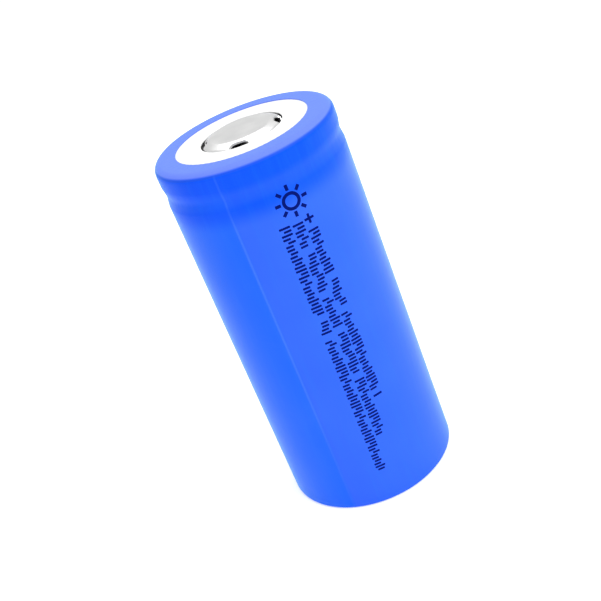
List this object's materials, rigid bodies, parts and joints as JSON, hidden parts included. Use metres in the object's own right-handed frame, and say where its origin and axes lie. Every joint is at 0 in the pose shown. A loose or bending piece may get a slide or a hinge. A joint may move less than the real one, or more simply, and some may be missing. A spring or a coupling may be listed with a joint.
{
  "type": "cylindrical battery cell",
  "caption": "Cylindrical rechargeable cell in a blue shrunk sleeve, with a raised vented positive button, a white insulating washer and a flat negative end.",
  "frame": {"origin": "centre of the face that the cell stands on, at its negative end", "axes": "+Z along the cell, from the negative end to the positive terminal; a vent faces each of +X, +Y, -X and -Y"},
  "size_m": [0.032, 0.032, 0.071],
  "materials": {
    "blue_sleeve": "glossy shrunk film",
    "white_washer": "smooth white insulating paper",
    "plated_can": "nickel-plated drawn steel",
    "plated_cap": "bright nickel plate",
    "gasket_plastic": "moulded, slightly see-through",
    "pressed_aluminium": "stamped",
    "ring_plastic": "moulded",
    "insulating_paper": "pressed insulating paper",
    "separator_film": "porous white film",
    "graphite_coating": "rolled dark grey powder coating",
    "phosphate_coating": "rolled grey-black powder coating",
    "amber_tape": "thin amber film tape",
    "green_tape": "thin green film tape",
    "aluminium_strip": "rolled",
    "nickel_strip": "rolled"
  },
  "bodies": {
    "root": {"outer_sleeve": "blue_sleeve", "top_washer": "white_washer", "steel_can": "plated_can", "sealing_gasket": "gasket_plastic", "positive_cap": "plated_cap", "burst_disc": "pressed_aluminium", "disc_insulator": "ring_plastic", "perforated_plate": "pressed_aluminium", "upper_insulator": "insulating_paper", "lower_insulator": "insulating_paper", "inner_separator": "separator_film", "anode_strip": "graphite_coating", "outer_separator": "separator_film", "cathode_strip": "phosphate_coating", "closing_tape": "green_tape", "positive_tab_1": "aluminium_strip", "positive_tab_2": "aluminium_strip", "tab_tape_1": "amber_tape", "tab_tape_2": "amber_tape", "negative_tab_1": "nickel_strip", "negative_tab_2": "nickel_strip"}
  },
  "joints": []
}
